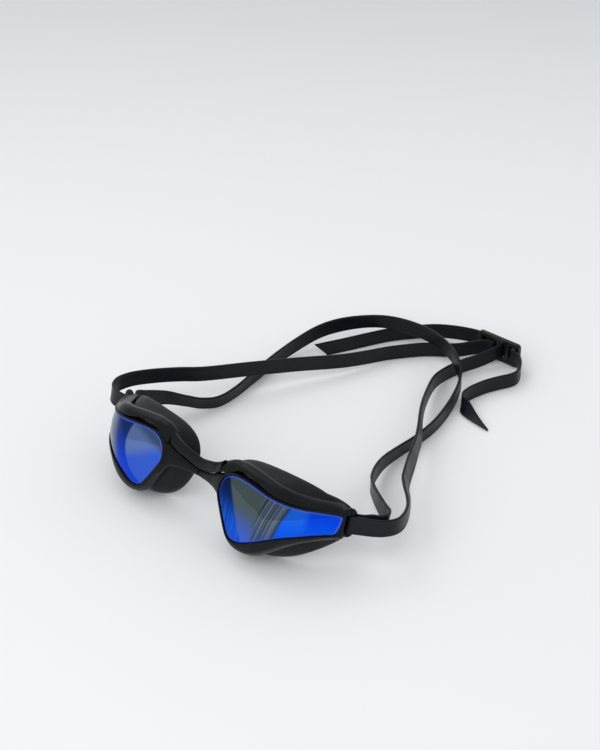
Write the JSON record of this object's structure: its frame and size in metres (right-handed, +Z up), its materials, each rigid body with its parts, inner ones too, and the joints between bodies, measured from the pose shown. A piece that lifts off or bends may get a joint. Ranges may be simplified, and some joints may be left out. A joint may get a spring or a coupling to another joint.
{
  "type": "swim goggles",
  "caption": "Low-profile racing swim goggles: wrapped mirror lenses in black frames with soft gaskets, a clip-in nose bridge and a flat split strap with a ladder buckle.",
  "frame": {"origin": "bottom centre of the eyecups' bounding box, on the surface that they rest on, with the strap left out", "axes": "+Z up, -Y the way the lenses face, +X towards the wearer's left"},
  "size_m": [0.1603, 0.2019, 0.0386],
  "materials": {
    "lens": "gloss blue mirror coating",
    "frame": "satin",
    "bridge": "satin",
    "gasket": "matte",
    "strap": "satin",
    "buckle": "semi-gloss"
  },
  "bodies": {
    "bridge": {"nose_bridge": "bridge", "strap_right_upper": "strap", "strap_lower": "strap", "strap_left_upper": "strap", "strap_right_tail": "strap", "strap_left_tail": "strap"},
    "left_cup": {"left_frame": "frame", "left_lens": "lens", "left_gasket": "gasket"},
    "right_cup": {"right_frame": "frame", "right_lens": "lens", "right_gasket": "gasket"},
    "buckle_body": {"buckle": "buckle"}
  },
  "joints": [
    {"name": "left_cup_flex", "type": "hinge", "parent": "bridge", "child": "left_cup", "pos_m": [0.011, -0.00717, 0.02737], "axis": [0, 0.3256, 0.9455], "range_deg": [-5, 5], "stiffness_Nm_per_rad": 0.4, "deforming": ["strap_left_upper", "strap_lower"]},
    {"name": "right_cup_flex", "type": "hinge", "parent": "bridge", "child": "right_cup", "pos_m": [-0.011, -0.00717, 0.02737], "axis": [0, 0.3256, 0.9455], "range_deg": [-5, 5], "stiffness_Nm_per_rad": 0.4, "deforming": ["strap_right_upper", "strap_lower"]},
    {"name": "buckle_slide", "type": "slide", "parent": "bridge", "child": "buckle_body", "axis": [1, 0, 0], "range_m": [-0.004, 0.004], "deforming": ["strap_right_upper", "strap_left_upper", "strap_right_tail", "strap_left_tail"]}
  ]
}
